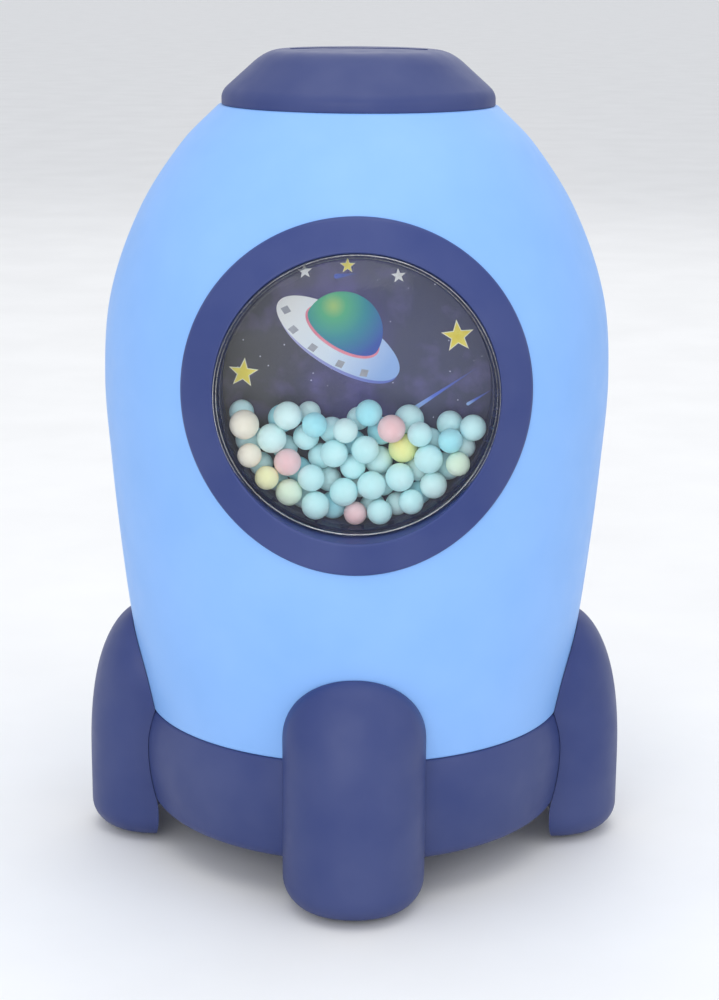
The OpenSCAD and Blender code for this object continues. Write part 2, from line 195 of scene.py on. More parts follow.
def make_mesh(name, verts, faces, place=upright):
    """A mesh object from points in millimetres, which place turns into the rocket's axes."""
    mesh = bpy.data.meshes.new(name)
    mesh.from_pydata([[c * MM for c in place(v)] for v in verts], [], faces)
    bm = bmesh.new()
    bm.from_mesh(mesh)
    bmesh.ops.recalc_face_normals(bm, faces=bm.faces)
    bm.to_mesh(mesh)
    bm.free()
    shade(mesh)
    obj = bpy.data.objects.new(name, mesh)
    bpy.context.scene.collection.objects.link(obj)
    return obj


def finish_piece(obj, body, material, nodes=()):
    """Gives a piece its material, and ties it to the CAD model."""
    obj.data.materials.clear()
    obj.data.materials.append(material)
    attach(obj, body)
    if nodes:
        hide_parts(*nodes)
    return obj


def lathe(profile):
    """Vertices and faces of a closed profile of (radius, height) points turned about Z."""
    verts = []
    rows = []
    for r, h in profile:
        if r < 1e-6:
            rows.append([len(verts)] * TURNS)
            verts.append((0, 0, h))
        else:
            rows.append(list(range(len(verts), len(verts) + TURNS)))
            verts += [(r * math.cos(a), r * math.sin(a), h) for a in spaced(0, 2 * math.pi, TURNS)[:-1]]
    faces = []
    for a, b in zip(rows, rows[1:] + rows[:1]):
        for i in range(TURNS):
            j = (i + 1) % TURNS
            face = list(dict.fromkeys((a[i], a[j], b[j], b[i])))
            if len(face) > 2:
                faces.append(face)
    return verts, faces


def loft(loops):
    """Vertices and faces of a solid through closed loops that have the same number of points."""
    n = len(loops[0])
    verts = [p for loop in loops for p in loop]
    faces = [list(range(n)), list(range(len(verts) - n, len(verts)))[::-1]]
    for k in range(len(loops) - 1):
        for i in range(n):
            a, b = k * n + i, k * n + (i + 1) % n
            faces.append([a, a + n, b + n, b])
    return verts, faces


def ring_loft(loops):
    """Vertices and faces of a ring through closed loops, the last joined to the first."""
    n = len(loops[0])
    verts = [p for loop in loops for p in loop]
    faces = []
    for k in range(len(loops)):
        following = (k + 1) % len(loops)
        for i in range(n):
            j = (i + 1) % n
            faces.append([k * n + i, following * n + i, following * n + j, k * n + j])
    return verts, faces


def cut(obj, verts, faces, place=upright):
    """Cuts the solid of these vertices and faces out of obj."""
    tool = make_mesh("tool", verts, faces, place)
    modifier = obj.modifiers.new("cut", "BOOLEAN")
    modifier.operation = "DIFFERENCE"
    modifier.solver = "EXACT"
    modifier.object = tool
    apply_modifiers(obj)
    bpy.data.objects.remove(tool)


def apply_modifiers(obj):
    """Turns what obj's modifiers make into its own mesh."""
    bpy.context.view_layer.update()
    graph = bpy.context.evaluated_depsgraph_get()
    mesh = bpy.data.meshes.new_from_object(obj.evaluated_get(graph))
    obj.modifiers.clear()
    obj.data = mesh
    shade(mesh)


def rod(radius, low, high):
    """Vertices and faces of a round bar along Z."""
    return lathe([(0, low), (radius, low), (radius, high), (0, high)])


def soften(node, width):
    """Rounds the edges of a CAD node that stays in view."""
    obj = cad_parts[node]
    weld = obj.modifiers.new("weld", "WELD")
    weld.merge_threshold = 0.002 * MM
    bevel = obj.modifiers.new("bevel", "BEVEL")
    bevel.width = width * MM
    bevel.segments = 2
    bevel.limit_method = "ANGLE"
    bevel.angle_limit = math.radians(40)
    bevel.harden_normals = True


# ---------------------------------------------------------------- materials


class Look:
    """A node material with helpers for its procedural textures."""

    def __init__(self, name):
        self.material = bpy.data.materials.new(name)
        self.material.use_nodes = True
        self.tree = self.material.node_tree
        self.shader = self.tree.nodes["Principled BSDF"]
        self.output = self.tree.nodes["Material Output"]
        self.place = self.add("ShaderNodeTexCoord").outputs["Object"]

    def add(self, kind, **values):
        node = self.tree.nodes.new(kind)
        for key, value in values.items():
            setattr(node, key, value)
        return node

    def link(self, source, target):
        self.tree.links.new(source, target)

    def set(self, **values):
        for key, value in values.items():
            self.shader.inputs[key.replace("_", " ")].default_value = value

    def noise(self, size, detail=2):
        """Noise whose features are about size millimetres wide."""
        node = self.add("ShaderNodeTexNoise")
        node.inputs["Scale"].default_value = 1 / (size * MM)
        node.inputs["Detail"].default_value = detail
        self.link(self.place, node.inputs["Vector"])
        return node.outputs["Fac"]

    def ramp(self, factor, stops):
        """The colour that factor picks from stops, each of them (position, colour)."""
        node = self.add("ShaderNodeValToRGB")
        elements = node.color_ramp.elements
        while len(elements) < len(stops):
            elements.new(0.5)
        for element, (position, colour) in zip(elements, stops):
            element.position = position
            element.color = (*colour, 1)
        self.link(factor, node.inputs["Fac"])
        return node.outputs["Color"]

    def spread(self, factor, low, high):
        """Maps the middle of a noise onto the range from low to high."""
        node = self.add("ShaderNodeMapRange")
        for key, value in (("From Min", 0.3), ("From Max", 0.7), ("To Min", low), ("To Max", high)):
            node.inputs[key].default_value = value
        self.link(factor, node.inputs["Value"])
        return node.outputs["Result"]

    def relief(self, height, depth):
        """Raises the surface by up to depth millimetres where height is 1."""
        node = self.add("ShaderNodeBump")
        node.inputs["Distance"].default_value = depth * MM
        self.link(height, node.inputs["Height"])
        self.link(node.outputs["Normal"], self.shader.inputs["Normal"])


BLACK = (0, 0, 0)
FULL_WHITE = (1, 1, 1)


def mix(a, b, t):
    """The colour a share t of the way from a to b."""
    return tuple(x + (y - x) * t for x, y in zip(a, b))


def moulded(name, colour, roughness, gloss=0.5):
    """Moulded plastic: a faint cloudiness in the colour, an uneven polish and a fine grain."""
    look = Look(name)
    cloud = look.noise(22, 3)
    stops = [(0.3, mix(colour, BLACK, 0.04)), (0.7, mix(colour, FULL_WHITE, 0.02))]
    look.link(look.ramp(cloud, stops), look.shader.inputs["Base Color"])
    polish = look.spread(look.noise(6, 4), roughness - 0.04, roughness + 0.05)
    look.link(polish, look.shader.inputs["Roughness"])
    look.relief(look.noise(0.35, 2), 0.006)
    look.set(IOR=1.5, Specular_IOR_Level=gloss)
    return look.material


def rim_light(look):
    """Share of light mirrored along the two edges of the window's raised rim: uneven, and 0 elsewhere."""
    rim_width, rim_floor = 1.2, WINDOW_OUT + 0.6
    centre = Vector(at_porthole((0, 0, 0))) * MM
    offset = look.add("ShaderNodeVectorMath", operation="SUBTRACT")
    offset.inputs[1].default_value = centre
    look.link(look.place, offset.inputs[0])
    flat = look.add("ShaderNodeVectorMath", operation="MULTIPLY")
    flat.inputs[1].default_value = (1, 0, 1)
    look.link(offset.outputs["Vector"], flat.inputs[0])
    radius = look.add("ShaderNodeVectorMath", operation="LENGTH")
    look.link(flat.outputs["Vector"], radius.inputs[0])
    across = look.add("ShaderNodeMapRange")
    across.inputs["From Min"].default_value = (LENS_R - rim_width) * MM
    across.inputs["From Max"].default_value = LENS_R * MM
    look.link(radius.outputs["Value"], across.inputs["Value"])
    edges = look.ramp(across.outputs["Result"], [
        (0.2, BLACK), (0.3, FULL_WHITE), (0.45, BLACK), (0.8, BLACK), (0.92, FULL_WHITE),
    ])
    split = look.add("ShaderNodeSeparateXYZ")
    look.link(look.place, split.inputs["Vector"])
    raised = look.add("ShaderNodeMath", operation="LESS_THAN")
    raised.inputs[1].default_value = -rim_floor * MM
    look.link(split.outputs["Y"], raised.inputs[0])
    lit = look.add("ShaderNodeMath", operation="MULTIPLY")
    look.link(edges, lit.inputs[0])
    look.link(raised.outputs["Value"], lit.inputs[1])
    uneven = look.add("ShaderNodeMath", operation="MULTIPLY")
    look.link(lit.outputs["Value"], uneven.inputs[0])
    look.link(look.spread(look.noise(25, 2), 0.15, 0.8), uneven.inputs[1])
    return uneven.outputs["Value"]


def clear_plastic(name):
    """A thin clear wall: lets light straight through, and mirrors some of it, most at its edges."""
    gloss = 0.6
    look = Look(name)
    through = look.add("ShaderNodeBsdfTransparent")
    tint = look.ramp(look.noise(30), [(0.3, (0.975, 0.985, 0.99)), (0.7, (0.99, 0.995, 0.995))])
    look.link(tint, through.inputs["Color"])
    mirror = look.add("ShaderNodeBsdfAnisotropic")
    look.link(look.spread(look.noise(9, 4), 0.04, 0.09), mirror.inputs["Roughness"])
    edge = look.add("ShaderNodeFresnel")
    edge.inputs["IOR"].default_value = 1.45
    share = look.add("ShaderNodeMath", operation="MULTIPLY_ADD")
    share.inputs[1].default_value = gloss
    look.link(edge.outputs["Fac"], share.inputs[0])
    look.link(rim_light(look), share.inputs[2])
    blend = look.add("ShaderNodeMixShader")
    look.link(share.outputs["Value"], blend.inputs["Fac"])
    look.link(through.outputs["BSDF"], blend.inputs[1])
    look.link(mirror.outputs["BSDF"], blend.inputs[2])
    look.link(blend.outputs["Shader"], look.output.inputs["Surface"])
    look.tree.nodes.remove(look.shader)
    return look.material


def foam(name, colour):
    """Expanded foam: dull, slightly see-through, with a fine cell pattern."""
    look = Look(name)
    cells = look.add("ShaderNodeTexVoronoi")
    cells.inputs["Scale"].default_value = 1 / (0.55 * MM)
    look.link(look.place, cells.inputs["Vector"])
    stops = [(0.3, mix(colour, BLACK, 0.05)), (0.7, mix(colour, FULL_WHITE, 0.1))]
    look.link(look.ramp(look.noise(5, 3), stops), look.shader.inputs["Base Color"])
    look.relief(cells.outputs["Distance"], 0.03)
    look.set(Roughness=0.75, Subsurface_Weight=0.6, Subsurface_Scale=0.002)
    look.shader.inputs["Subsurface Radius"].default_value = (1.0, 1.0, 1.0)
    return look.material


def printed(look, factor, stops):
    """Gives a look the printed colours that factor picks from the stops."""
    look.link(look.ramp(factor, stops), look.shader.inputs["Base Color"])
    look.set(Roughness=0.5)
    return look.material


def ink(name, low, high):
    """Printed colour, slightly mottled."""
    look = Look(name)
    return printed(look, look.noise(3, 3), [(0.3, low), (0.7, high)])


def shaded_ink(name, stops, start, end):
    """Printed colour that runs through the stops from one point of the card to another."""
    look = Look(name)
    a, b = (Vector(at_porthole((x, y, 0))) * MM for x, y in (start, end))
    run = b - a
    offset = look.add("ShaderNodeVectorMath", operation="SUBTRACT")
    offset.inputs[1].default_value = a
    look.link(look.place, offset.inputs[0])
    along = look.add("ShaderNodeVectorMath", operation="DOT_PRODUCT")
    along.inputs[1].default_value = run / run.length_squared
    look.link(offset.outputs["Vector"], along.inputs[0])
    return printed(look, along.outputs["Value"], stops)


def glow_ink(name, stops, x, y, reach):
    """Printed colour that runs through the stops with the distance from a point of the card."""
    look = Look(name)
    away = look.add("ShaderNodeVectorMath", operation="DISTANCE")
    away.inputs[1].default_value = Vector(at_porthole((x, y, CHAMBER_BACK + CARD_THICK))) * MM
    look.link(look.place, away.inputs[0])
    share = look.add("ShaderNodeMath", operation="DIVIDE")
    share.inputs[1].default_value = reach * MM
    look.link(away.outputs["Value"], share.inputs[0])
    return printed(look, share.outputs["Value"], stops)


def space_print():
    """The card behind the balls: charcoal turning to violet-blue, with mist and fine stars."""
    half_width = 0.03
    look = Look("space_print")
    split = look.add("ShaderNodeSeparateXYZ")
    look.link(look.place, split.inputs["Vector"])
    across = look.add("ShaderNodeMapRange")
    across.inputs["From Min"].default_value = -half_width
    across.inputs["From Max"].default_value = half_width
    look.link(split.outputs["X"], across.inputs["Value"])
    drift = look.add("ShaderNodeMath", operation="MULTIPLY_ADD")
    drift.inputs[1].default_value = 0.7
    look.link(look.noise(26, 4), drift.inputs[0])
    look.link(across.outputs["Result"], drift.inputs[2])
    sky = look.ramp(drift.outputs["Value"], [
        (0.35, (0.04, 0.04, 0.048)), (0.6, (0.042, 0.042, 0.085)),
        (0.85, (0.045, 0.042, 0.18)), (1.0, (0.035, 0.042, 0.12)),
    ])
    mist = look.ramp(look.noise(8, 6), [(0.52, BLACK), (0.8, (0.08, 0.06, 0.18))])
    stars = look.add("ShaderNodeTexVoronoi")
    stars.inputs["Scale"].default_value = 1 / (2.6 * MM)
    look.link(look.place, stars.inputs["Vector"])
    specks = look.ramp(stars.outputs["Distance"], [(0.03, (0.7, 0.72, 0.85)), (0.07, BLACK)])
    colour = sky
    for layer in (mist, specks):
        add = look.add("ShaderNodeMix", data_type="RGBA", blend_type="ADD")
        add.inputs["Factor"].default_value = 1
        look.link(colour, add.inputs["A"])
        look.link(layer, add.inputs["B"])
        colour = add.outputs["Result"]
    look.link(colour, look.shader.inputs["Base Color"])
    look.set(Roughness=0.4)
    return look.material


def metal(name, colour, roughness):
    """Plated metal: a little tarnish, an uneven polish and a fine grain."""
    look = Look(name)
    tarnish = look.ramp(look.noise(4, 3), [(0.3, mix(colour, BLACK, 0.12)), (0.7, colour)])
    look.link(tarnish, look.shader.inputs["Base Color"])
    polish = look.spread(look.noise(1.5, 4), roughness - 0.08, roughness + 0.1)
    look.link(polish, look.shader.inputs["Roughness"])
    look.relief(look.noise(0.5, 3), 0.01)
    look.set(Metallic=1.0)
    return look.material


def rubber(name):
    """Black rubber: dull, with a coarse grain."""
    look = Look(name)
    soot = look.ramp(look.noise(3, 3), [(0.3, (0.02, 0.02, 0.021)), (0.7, (0.035, 0.035, 0.037))])
    look.link(soot, look.shader.inputs["Base Color"])
    look.relief(look.noise(0.4, 3), 0.03)
    look.set(Roughness=0.8)
    return look.material


BLUE = moulded("blue_plastic", (0.23, 0.455, 0.88), 0.45, 0.35)
NAVY = moulded("navy_plastic", (0.028, 0.046, 0.17), 0.45, 0.32)
RING = moulded("ring_plastic", (0.02, 0.04, 0.18), 0.45, 0.4)
WHITE = moulded("white_plastic", (0.86, 0.87, 0.88), 0.3)
GREY = moulded("grey_plastic", (0.42, 0.43, 0.45), 0.4)
CLEAR = clear_plastic("clear_plastic")
STEEL = metal("zinc_plate", (0.62, 0.63, 0.65), 0.32)
RUBBER = rubber("black_rubber")

# ---------------------------------------------------------------- body, nose and base


def skin(d, start, end, n):
    """Profile points on the body's skin moved outwards by d."""
    return [(skin_r(z, d), z) for z in spaced(start, end, n)]


def body_shell():
    """Light-blue barrel with a neck for the nose, a spigot for the cup and two round openings."""
    lip = 0.7
    flange_lap = 1.65
    cut_from, cut_to = 20, 80
    rim, crown = body_r(RIM_Z), body_r(NOSE_Z)
    profile = (
        [(SPIGOT_R, SPIGOT_Z), (SPIGOT_R, RIM_Z)]
        + eased((rim - lip, RIM_Z), (rim, RIM_Z), (body_r(RIM_Z + lip), RIM_Z + lip), 6)
        + skin(0, RIM_Z + 1.5, NOSE_Z - 0.8, 150)
        + eased((body_r(NOSE_Z - 0.5), NOSE_Z - 0.5), (crown, NOSE_Z), (crown - 0.6, NOSE_Z), 4)
        + [(NECK_R, NOSE_Z), (NECK_R, NECK_TOP), (NECK_R - WALL, NECK_TOP), (NECK_R - WALL, NOSE_Z - 2.5)]
        + skin(-WALL, NOSE_Z - 6.5, RIM_Z + 6, 60)
        + [(SPIGOT_R - WALL, RIM_Z + 1), (SPIGOT_R - WALL, SPIGOT_Z)]
    )
    shell = make_mesh("rocket_body", *lathe(profile))
    cut(shell, *rod(BEZEL_R - flange_lap, cut_from, cut_to), at_porthole)
    cut(shell, *rod(FRAME_R - flange_lap, cut_from, cut_to), at_door)
    finish_piece(shell, "bank", BLUE, ["body_shell"])


def nose_cap():
    """Navy cap: a short upright lip, a sloping flank, an eased crown and the coin slot."""
    lip_r, crown_r, inner_r = 34, 19.5, 30.5
    outer = (
        [(lip_r - 0.6, NOSE_Z)]
        + eased((lip_r - 0.3, NOSE_Z), (lip_r, NOSE_Z), (lip_r, NOSE_Z + 0.3), 3)
        + eased((lip_r, NOSE_Z + 1.5), (lip_r, NOSE_Z + 3.1), (lip_r - 1.4, NOSE_Z + 4.4))
        + eased((26.2, NOSE_Z + 10.1), (22.8, HEIGHT - 0.6), (crown_r, HEIGHT - 0.4), 16)
        + [(10, HEIGHT - 0.08), (0, HEIGHT - 0.05)]
    )
    inner = [
        (0, HEIGHT - WALL), (crown_r + 1, HEIGHT - WALL - 0.4), (24.7, NOSE_Z + 8.5),
        (inner_r, NOSE_Z + 3.3), (inner_r, NOSE_Z),
    ]
    cap = make_mesh("rocket_nose", *lathe(outer + inner))
    x, y = SLOT[0] / 2, SLOT[1] / 2
    corners = [(-x, -y), (x, -y), (x, y), (-x, y)]
    cut(cap, *loft([[(cx, cy, z) for cx, cy in corners] for z in (HEIGHT - 8, HEIGHT + 1)]))
    finish_piece(cap, "bank", NAVY, ["nose_cap"])


def base_cup():
    """Navy cup round the body's lower rim, with a rounded foot."""
    floor_z = CUP_Z + WALL
    foot = cup_r(CUP_Z + 4)
    rim = cup_r(RIM_Z)
    outer = (
        [(0, CUP_Z)]
        + eased((foot - 6, CUP_Z), (foot - 0.6, CUP_Z), (foot, CUP_Z + 4), 14)
        + [(cup_r(z), z) for z in spaced(CUP_Z + 4.8, RIM_Z - 1, 40)]
        + eased((cup_r(RIM_Z - 0.7), RIM_Z - 0.7), (rim, RIM_Z), (rim - 0.7, RIM_Z), 6)
    )
    inner = [(CUP_INNER_R, RIM_Z), (CUP_INNER_R, floor_z), (0, floor_z)]
    cup = make_mesh("rocket_cup", *lathe(outer + inner))
    finish_piece(cup, "bank", NAVY, ["base_cup"])


def booster_loop(z, n):
    """One level of the front booster: its outside from left to right, then its back."""
    half, out, seat = booster_half(z), booster_reach(z), seat_r(z)
    squareness = 2.3
    power = 2 / squareness
    loop = []
    for a in spaced(math.pi, 0, n):
        x = half * math.copysign(abs(math.cos(a)) ** power, math.cos(a))
        rise = (out - seat) * abs(math.sin(a)) ** power
        loop.append((x, -math.sqrt(seat**2 - x**2) - rise, z))
    for x in spaced(half, -half, n)[1:-1]:
        loop.append((x, -math.sqrt(seat**2 - x**2), z))
    return loop


def boosters():
    """The four booster feet, from levels that crowd together where the outline turns."""
    quarter = math.pi / 2
    side_top, tip_top = 42, BOOSTER_TOP - 0.03
    foot = [PAD_HEIGHT + BOOSTER_EDGE * (1 - math.cos(a)) for a in spaced(0, quarter, 12)]
    side = spaced(PAD_HEIGHT + BOOSTER_EDGE, side_top, 14)[1:]
    tip = [side_top + (tip_top - side_top) * math.sin(a) for a in spaced(0, quarter, 32)[1:]]
    loops = [booster_loop(z, 56) for z in foot + side + tip]
    for name, turn in (("front", 0), ("right", 90), ("rear", 180), ("left", 270)):
        spin = Matrix.Rotation(math.radians(turn), 3, "Z")
        pod = make_mesh("rocket_booster_" + name, *loft(loops), lambda v: spin @ Vector(v))
        finish_piece(pod, "bank", NAVY, ["booster_" + name])


# ---------------------------------------------------------------- rings on the curved body


def wrapped_ring(section, axis_z):
    """Loops of a ring laid over the body round a level axis at axis_z.

    Each point of the section is (radius, lift, level): lift above the body's skin, or where level is given
    the distance out from the rocket's axis.
    """
    loops = []
    for a in spaced(0, 2 * math.pi, TURNS)[:-1]:
        loop = []
        for radius, lift, level in section:
            x, y = radius * math.cos(a), radius * math.sin(a)
            out = math.sqrt(skin_r(axis_z + y, lift) ** 2 - x**2) if level is None else level
            loop.append((x, y, out))
        loops.append(loop)
    return loops


def ring_section(bore, outer, collar, back):
    """Section of a ring: a collar through the body with a flange that laps over the body's skin."""
    proud, soft = 1, 0.7
    face = (
        eased((bore, proud - soft), (bore, proud), (bore + soft, proud), 6)
        + [(r, proud) for r in spaced(bore + 2 * soft, outer - 2 * soft, 4)]
        + eased((outer - soft, proud), (outer, proud), (outer, proud - soft), 6)
        + [(outer, 0), (collar, 0)]
    )
    return [(bore, None, back)] + [(r, lift, None) for r, lift in face] + [(collar, None, back)]


def porthole_bezel():
    """Navy ring that wraps over the curved body, with its collar through the opening."""
    collar_r, collar_back = BEZEL_R - 1.8, 44
    section = ring_section(WINDOW_R, BEZEL_R, collar_r, collar_back)
    ring = make_mesh("porthole_ring", *ring_loft(wrapped_ring(section, PORT_Z)), at_porthole)
    finish_piece(ring, "bank", RING, ["porthole_bezel"])


# ---------------------------------------------------------------- window, balls and printed card


def porthole_lens():
    """Clear cap over the balls, with a thin raised rim and a flange behind the bezel."""
    wall, soft, round_in = 1.5, 0.3, 0.8
    face = WINDOW_OUT - wall
    rim = LENS_R - 0.9
    top = WINDOW_OUT + 1
    profile = (
        [(0, WINDOW_OUT), (rim - soft, WINDOW_OUT)]
        + eased((rim - soft, WINDOW_OUT), (rim, WINDOW_OUT), (rim, WINDOW_OUT + soft), 4)[1:]
        + eased((rim, top - soft), (rim, top), (rim + soft, top), 4)
        + eased((LENS_R - soft, top), (LENS_R, top), (LENS_R, top - soft), 4)
        + [(LENS_R, FLANGE_OUT), (LENS_FLANGE_R, FLANGE_OUT), (LENS_FLANGE_R, FLANGE_OUT - wall)]
        + [(CHAMBER_R, FLANGE_OUT - wall)]
        + eased((CHAMBER_R, face - round_in), (CHAMBER_R, face), (CHAMBER_R - round_in, face), 5)
        + [(0, face)]
    )
    lens = make_mesh("window", *lathe(profile), at_porthole)
    finish_piece(lens, "bank", CLEAR, ["porthole_lens"])


def ball_centres():
    """(centre, radius) in metres of each ball of the CAD model, found as its separate islands."""
    bm = bmesh.new()
    bm.from_mesh(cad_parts["foam_balls"].data)
    bmesh.ops.remove_doubles(bm, verts=bm.verts, dist=0.002 * MM)
    found = []
    left = set(bm.verts)
    while left:
        front = [left.pop()]
        island = list(front)
        while front:
            for edge in front.pop().link_edges:
                for v in edge.verts:
                    if v in left:
                        left.remove(v)
                        front.append(v)
                        island.append(v)
        low = [min(v.co[k] for v in island) for k in range(3)]
        high = [max(v.co[k] for v in island) for k in range(3)]
        centre = Vector([(a + b) / 2 for a, b in zip(low, high)])
        found.append((centre, max(b - a for a, b in zip(low, high)) / 2))
    bm.free()
    return sorted(found, key=lambda ball: tuple(ball[0]))


# Colours of the few balls that aren't pale blue, and where in the window each lies: (colour, right, up)
ACCENTS = [
    ("pink", -13, -16), ("pink", 2, -29), ("pink", 12, -3), ("yellow", 8, -12),
    ("lemon", -18, -17), ("cream", -28, -9), ("cream", -26, -13), ("lime", 22, -18),
    ("lime", -15, -22),
]
FOAM = {
    "aqua": (0.62, 0.96, 1.0), "mint": (0.7, 0.98, 0.97), "sky": (0.42, 0.87, 1.0),
    "pink": (1.0, 0.62, 0.64), "yellow": (1.0, 0.96, 0.38), "lemon": (0.98, 0.95, 0.55),
    "cream": (0.98, 0.88, 0.74), "lime": (0.78, 0.96, 0.74),
}


def foam_balls():
    """The foam balls, one piece for each colour, each ball where the CAD model has it."""
    balls = ball_centres()
    colours = {i: ("aqua", "mint", "aqua", "sky", "aqua")[i % 5] for i in range(len(balls))}
    free = set(colours)
    for colour, x, y in ACCENTS:
        spot = Vector(at_porthole((x, y, WINDOW_OUT - 4))) * MM
        nearest = min(free, key=lambda i: (balls[i][0] - spot).length)
        free.remove(nearest)
        colours[nearest] = colour
    for colour, tint in FOAM.items():
        bm = bmesh.new()
        for i, (centre, radius) in enumerate(balls):
            if colours[i] == colour:
                place = Matrix.Translation(centre)
                bmesh.ops.create_icosphere(bm, subdivisions=4, radius=radius, matrix=place)
        mesh = bpy.data.meshes.new("balls_" + colour)
        bm.to_mesh(mesh)
        bm.free()
        mesh.shade_smooth()
        obj = bpy.data.objects.new("balls_" + colour, mesh)
        bpy.context.scene.collection.objects.link(obj)
        finish_piece(obj, "bank", foam("foam_" + colour, tint), ["foam_balls"])


def star(x, y, size, turn):
    """Points of a five-pointed star."""
    waist = 0.42
    points = []
    for k in range(10):
        a = math.radians(90 + turn + 36 * k)
        r = size if k % 2 == 0 else waist * size
        points.append((x + r * math.cos(a), y + r * math.sin(a)))
    return points


def ellipse(x, y, a, b, turn, start=0.0, end=360.0, n=72):
    """Points of an ellipse, or of the part of it from start to end, turned about its centre."""
    c, s = math.cos(math.radians(turn)), math.sin(math.radians(turn))
    points = []
    for t in spaced(math.radians(start), math.radians(end), n)[: n if end - start >= 360 else n + 1]:
        px, py = a * math.cos(t), b * math.sin(t)
        points.append((x + c * px - s * py, y + s * px + c * py))
    return points


def decal(name, outline, layer, material):
    """A thin printed shape on the card; layer counts up from the card."""
    ink_thick = 0.03
    low = CHAMBER_BACK + CARD_THICK + ink_thick * (layer - 1)
    loops = [[(x, y, z) for x, y in outline] for z in (low, low + ink_thick)]
    piece = make_mesh("print_" + name, *loft(loops), at_porthole)
    finish_piece(piece, "bank", material)


def streak(x, y, length, turn, width):
    """A comet's trail: pointed at its far end, round at its head."""
    c, s = math.cos(math.radians(turn)), math.sin(math.radians(turn))
    shape = [(length, 0)] + [(width * math.cos(a), width * math.sin(a)) for a in spaced(1.6, 4.7, 8)]
    return [(x + c * px - s * py, y + s * px + c * py) for px, py in shape]


def printed_scene():
    """The printed card behind the balls, with its stars, trails and saucer."""
    disc = rod(CHAMBER_R - 0.2, CHAMBER_BACK, CHAMBER_BACK + CARD_THICK)
    card = make_mesh("print_card", *disc, at_porthole)
    finish_piece(card, "bank", space_print(), ["porthole_backdrop"])

    gold = ink("ink_gold", (0.88, 0.7, 0.06), (0.96, 0.84, 0.16))
    outline = ink("ink_outline", (0.9, 0.86, 0.6), (0.97, 0.93, 0.7))
    silver = ink("ink_silver", (0.8, 0.8, 0.79), (0.95, 0.95, 0.95))
    gold_share = 0.85
    stars = [(-26.8, 2.9, 3.7, -6), (23.7, 12, 4, 6), (-2.3, 28.5, 1.9, 0)]
    for i, (x, y, size, turn) in enumerate(stars):
        decal(f"gold_rim_{i}", star(x, y, size, turn), 1, outline)
        decal(f"gold_star_{i}", star(x, y, gold_share * size, turn), 2, gold)
    for i, (x, y) in enumerate([(-12.3, 27.1), (9.6, 26.2)]):
        decal(f"silver_star_{i}", star(x, y, 1.8, 5), 1, silver)
    bright = [(0.0, (0.4, 0.62, 1.0)), (0.3, (0.09, 0.17, 0.7)), (1.0, (0.05, 0.05, 0.2))]
    plain = [(0.0, (0.04, 0.1, 0.55)), (0.8, (0.03, 0.06, 0.3))]
    trails = [
        (14, -5.2, 18, 34, 0.55, bright), (26.4, -4.2, 7, 32, 0.4, bright),
        (-4.9, 26, 5, 8, 0.6, plain),
    ]
    for i, (x, y, length, turn, width, stops) in enumerate(trails):
        glow = glow_ink(f"ink_trail_{i}", stops, x, y, length)
        decal(f"trail_{i}", streak(x, y, length, turn, width), 1, glow)
    saucer(-4.4, 11.3, -31)


def saucer(x, y, turn):
    """A plain flying saucer: a dish with square lamps, and a glass dome."""
    c, s = math.cos(math.radians(turn)), math.sin(math.radians(turn))

    def spot(along, up):
        return x + c * along - s * up, y + s * along + c * up

    left, right = spot(-17, 0), spot(17, 0)
    dish_stops = [(0.1, (0.85, 0.85, 0.84)), (0.5, (0.7, 0.79, 0.9)), (0.9, (0.3, 0.48, 0.85))]
    dish = shaded_ink("ink_dish", dish_stops, left, right)
    belly = shaded_ink("ink_belly", [(0.0, (0.5, 0.5, 0.72)), (1.0, (0.1, 0.16, 0.6))], left, right)
    dome_stops = [
        (0.0, (0.4, 0.6, 0.2)), (0.18, (0.08, 0.45, 0.24)), (0.45, (0.015, 0.27, 0.34)),
        (0.8, (0.015, 0.08, 0.42)),
    ]
    dome = glow_ink("ink_dome", dome_stops, *spot(-5, 6), 17)
    band = ink("ink_band", (0.75, 0.2, 0.3), (0.85, 0.32, 0.4))
    lamp = ink("ink_lamp", (0.3, 0.31, 0.36), (0.42, 0.43, 0.48))
    decal("belly", ellipse(*spot(0.6, -0.7), 15.9, 6.4, turn), 1, belly)
    decal("dish", ellipse(x, y, 16.5, 6.4, turn), 2, dish)
    decal("band", ellipse(*spot(0, 1.9), 9.8, 4.6, turn), 3, band)
    decal("dome_foot", ellipse(*spot(0, 2.2), 9.4, 4.2, turn), 4, dome)
    decal("dome", ellipse(*spot(0, 2.2), 9.4, 9.2, turn, 0, 180), 5, dome)
    for k, (along, up) in enumerate([(-14, -0.6), (-10.1, -3.7), (-4, -5), (3.5, -5), (9.5, -3.9)]):
        lamp_turn = turn - 30 + 12 * k
        decal(f"lamp_{k}", ellipse(*spot(along, up), 1.3, 1.1, lamp_turn + 45, n=4), 3, lamp)


# ---------------------------------------------------------------- rear door and dial


def dial_digits():
    """The digits 0 to 9 printed round the dial, one on each lobe."""
    digit_r, digit_height, lift = 13.9, 5, 0.03
    black = ink("ink_digits", (0.02, 0.02, 0.04), (0.03, 0.035, 0.07))
    facing = Matrix(((-1, 0, 0), (0, 0, 1), (0, 1, 0))).to_4x4()
    for digit in range(10):
        a = math.radians(90 - 36 * digit)
        text = bpy.data.curves.new(f"dial_digit_{digit}", "FONT")
        text.body = str(digit)
        text.size = digit_height * MM
        text.extrude = 0.04 * MM
        text.align_x = "CENTER"
        text.align_y = "CENTER"
        obj = bpy.data.objects.new(text.name, text)
        bpy.context.scene.collection.objects.link(obj)
        place = Vector(at_door((digit_r * math.cos(a), digit_r * math.sin(a), DIAL_FACE + lift))) * MM
        obj.matrix_world = Matrix.Translation(place) @ facing @ Matrix.Rotation(a - math.pi / 2, 4, "Z")
        finish_piece(apply_text(obj), "dial", black)


